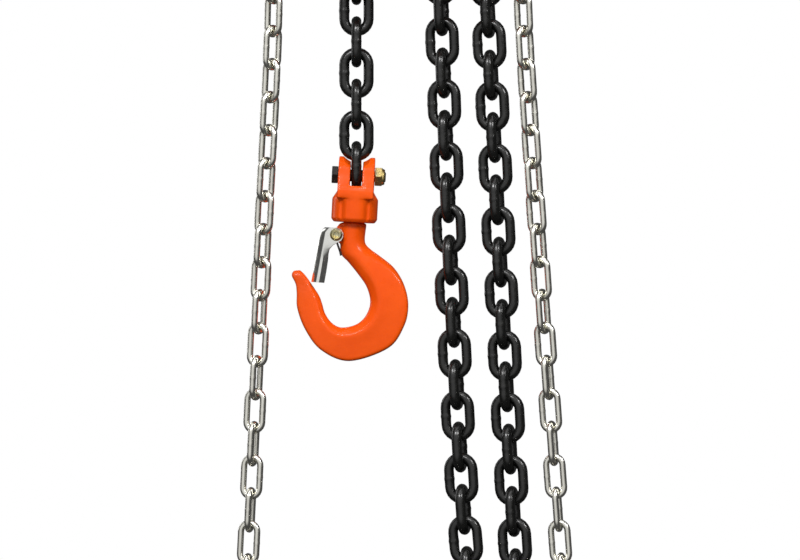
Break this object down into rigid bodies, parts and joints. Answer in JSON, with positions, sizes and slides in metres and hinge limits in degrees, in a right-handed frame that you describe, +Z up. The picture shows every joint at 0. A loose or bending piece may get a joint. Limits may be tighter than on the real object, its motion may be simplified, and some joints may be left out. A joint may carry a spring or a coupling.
{
  "type": "chain hoist",
  "caption": "Manual chain hoist with top hook, hand wheel, geared load sheave, orange load hook on black load chain, slack loop and zinc hand chain loop.",
  "frame": {"origin": "seat of the top hook, where the hoist hangs", "axes": "+Z up, +X to the right seen from the hand wheel side, -Y towards the hand wheel"},
  "size_m": [0.2633, 0.1455, 0.9639],
  "materials": {
    "orange_paint": "glossy orange enamel over a forged or pressed surface",
    "black_chain": "blackened hardened steel, lightly oiled",
    "zinc_chain": "bright zinc plated steel",
    "zinc_parts": "bright zinc plated pressed steel",
    "yellow_zinc": "yellow passivated zinc plate",
    "black_bolt": "black oxide steel",
    "machined_steel": "machined steel, oiled",
    "wheel_grey": "grey painted casting",
    "brake_lining": "moulded friction lining"
  },
  "bodies": {
    "top_suspension": {"top_hook": "orange_paint", "top_hook_nut": "machined_steel", "top_latch_bolt": "yellow_zinc", "top_latch_spring": "black_bolt"},
    "top_latch": {"top_latch": "zinc_parts"},
    "hoist_frame": {"top_yoke": "orange_paint", "top_yoke_pin": "zinc_parts", "front_side_plate": "orange_paint", "rear_side_plate": "orange_paint", "stay_bolt_left": "zinc_parts", "stay_bolt_right": "zinc_parts", "stay_bolt_lower": "zinc_parts", "chain_stripper": "machined_steel", "tail_anchor_pin": "zinc_parts", "sheave_bearing_front": "machined_steel", "sheave_bearing_rear": "machined_steel", "gear_cover": "orange_paint", "ratchet_disc": "machined_steel", "pawl_pin_upper": "zinc_parts", "pawl_pin_lower": "zinc_parts", "pawl_spring_upper": "machined_steel", "pawl_spring_lower": "machined_steel", "hand_wheel_cover": "orange_paint", "cover_screw_1": "zinc_parts", "cover_screw_2": "zinc_parts", "cover_screw_3": "zinc_parts", "hand_chain_guide_left": "zinc_parts", "hand_chain_guide_right": "zinc_parts", "load_chain_on_sheave": "black_chain", "hand_chain_on_wheel": "zinc_chain"},
    "guide_roller_left": {"chain_guide_left": "machined_steel"},
    "guide_roller_right": {"chain_guide_right": "machined_steel"},
    "hand_drive": {"hand_wheel": "wheel_grey", "drive_shaft": "machined_steel", "brake_hub": "machined_steel", "friction_disc_inner": "brake_lining", "friction_disc_outer": "brake_lining", "shaft_nut": "zinc_parts"},
    "disc_gear_left": {"disc_gear_left": "machined_steel"},
    "disc_gear_right": {"disc_gear_right": "machined_steel"},
    "sheave": {"load_sheave": "machined_steel", "load_gear": "machined_steel"},
    "pawl_upper": {"pawl_upper": "machined_steel"},
    "pawl_lower": {"pawl_lower": "machined_steel"},
    "hand_chain": {"hand_chain_loop": "zinc_chain"},
    "slack_chain": {"load_chain_slack": "black_chain"},
    "load_strand": {"load_chain_strand": "black_chain"},
    "link_5": {"load_link_5": "black_chain"},
    "link_4": {"load_link_4": "black_chain"},
    "link_3": {"load_link_3": "black_chain"},
    "link_2": {"load_link_2": "black_chain"},
    "link_1": {"load_link_1": "black_chain"},
    "yoke": {"load_yoke": "orange_paint", "chain_pin_bolt": "black_bolt", "chain_pin_nut": "yellow_zinc"},
    "hook": {"load_hook": "orange_paint", "load_hook_nut": "machined_steel", "load_latch_bolt": "yellow_zinc", "load_latch_spring": "black_bolt"},
    "hook_latch": {"load_latch": "zinc_parts"}
  },
  "joints": [
    {"name": "top_hook_swivel", "type": "hinge", "parent": "top_suspension", "child": "hoist_frame", "pos_m": [0, 0, 0], "axis": [0, 0, 1], "continuous": true},
    {"name": "top_latch_hinge", "type": "hinge", "parent": "top_suspension", "child": "top_latch", "pos_m": [0.013, 0, -0.0714], "axis": [0, 1, 0], "range_deg": [-28, 0], "stiffness_Nm_per_rad": 0.05, "springref_deg": 28.65},
    {"name": "guide_roller_left_spin", "type": "hinge", "parent": "hoist_frame", "child": "guide_roller_left", "pos_m": [-0.02134, 0, -0.2233], "axis": [0, 1, 0], "continuous": true},
    {"name": "guide_roller_right_spin", "type": "hinge", "parent": "hoist_frame", "child": "guide_roller_right", "pos_m": [0.08466, 0, -0.2173], "axis": [0, 1, 0], "continuous": true},
    {"name": "hand_wheel_spin", "type": "hinge", "parent": "hoist_frame", "child": "hand_drive", "pos_m": [0.03166, 0, -0.1933], "axis": [0, 1, 0], "range_deg": [-1980, 1980]},
    {"name": "disc_gear_left_spin", "type": "hinge", "parent": "hoist_frame", "child": "disc_gear_left", "pos_m": [-0.00884, 0, -0.1933], "axis": [0, 1, 0], "range_deg": [-396.1, 396.1]},
    {"name": "disc_gear_right_spin", "type": "hinge", "parent": "hoist_frame", "child": "disc_gear_right", "pos_m": [0.07216, 0, -0.1933], "axis": [0, 1, 0], "range_deg": [-396.1, 396.1]},
    {"name": "sheave_spin", "type": "hinge", "parent": "hoist_frame", "child": "sheave", "pos_m": [0.03166, 0, -0.1933], "axis": [0, 1, 0], "range_deg": [-90.1, 90.1]},
    {"name": "pawl_upper_hinge", "type": "hinge", "parent": "hoist_frame", "child": "pawl_upper", "pos_m": [0.03166, 0, -0.1373], "axis": [0, 1, 0], "range_deg": [0, 14], "stiffness_Nm_per_rad": 0.02, "springref_deg": -22.92},
    {"name": "pawl_lower_hinge", "type": "hinge", "parent": "hoist_frame", "child": "pawl_lower", "pos_m": [0.03166, 0, -0.2493], "axis": [0, 1, 0], "range_deg": [0, 14], "stiffness_Nm_per_rad": 0.02, "springref_deg": -22.92},
    {"name": "hand_chain_swing", "type": "hinge", "parent": "hoist_frame", "child": "hand_chain", "pos_m": [0.03166, -0.055, -0.2933], "axis": [1, 0, 0], "range_deg": [-10, 10]},
    {"name": "slack_chain_swing", "type": "hinge", "parent": "hoist_frame", "child": "slack_chain", "pos_m": [0.06332, 0, -0.2553], "axis": [1, 0, 0], "range_deg": [-6, 6]},
    {"name": "hook_lift", "type": "slide", "parent": "hoist_frame", "child": "load_strand", "axis": [0, 0, 1], "range_m": [-0.0481, 0.0481]},
    {"name": "link_5_swing", "type": "hinge", "parent": "load_strand", "child": "link_5", "pos_m": [0, 0, -0.3613], "axis": [1, 0, 0], "range_deg": [-6, 6]},
    {"name": "link_4_swing", "type": "hinge", "parent": "link_5", "child": "link_4", "pos_m": [0, 0, -0.3853], "axis": [1, 0, 0], "range_deg": [-6, 6]},
    {"name": "link_3_swing", "type": "hinge", "parent": "link_4", "child": "link_3", "pos_m": [0, 0, -0.4093], "axis": [1, 0, 0], "range_deg": [-6, 6]},
    {"name": "link_2_swing", "type": "hinge", "parent": "link_3", "child": "link_2", "pos_m": [0, 0, -0.4333], "axis": [1, 0, 0], "range_deg": [-6, 6]},
    {"name": "link_1_swing", "type": "hinge", "parent": "link_2", "child": "link_1", "pos_m": [0, 0, -0.4573], "axis": [1, 0, 0], "range_deg": [-6, 6]},
    {"name": "yoke_pivot", "type": "hinge", "parent": "link_1", "child": "yoke", "pos_m": [0, 0, -0.4763], "axis": [0.9986, 0, -0.0523], "range_deg": [-25, 25]},
    {"name": "load_hook_swivel", "type": "hinge", "parent": "yoke", "child": "hook", "pos_m": [-0.00188, 0, -0.51225], "axis": [0.0523, 0, 0.9986], "continuous": true},
    {"name": "load_latch_hinge", "type": "hinge", "parent": "hook", "child": "hook_latch", "pos_m": [-0.0154, 0, -0.52166], "axis": [0, 1, 0], "range_deg": [-28, 0], "stiffness_Nm_per_rad": 0.05, "springref_deg": 28.65}
  ],
  "couplings": [
    {"joint": "disc_gear_left_spin", "follows": "hand_wheel_spin", "ratio": -0.2},
    {"joint": "disc_gear_right_spin", "follows": "hand_wheel_spin", "ratio": -0.2},
    {"joint": "sheave_spin", "follows": "hand_wheel_spin", "ratio": 0.045455},
    {"joint": "hook_lift", "follows": "hand_wheel_spin", "m_per_rad": 0.001389}
  ]
}
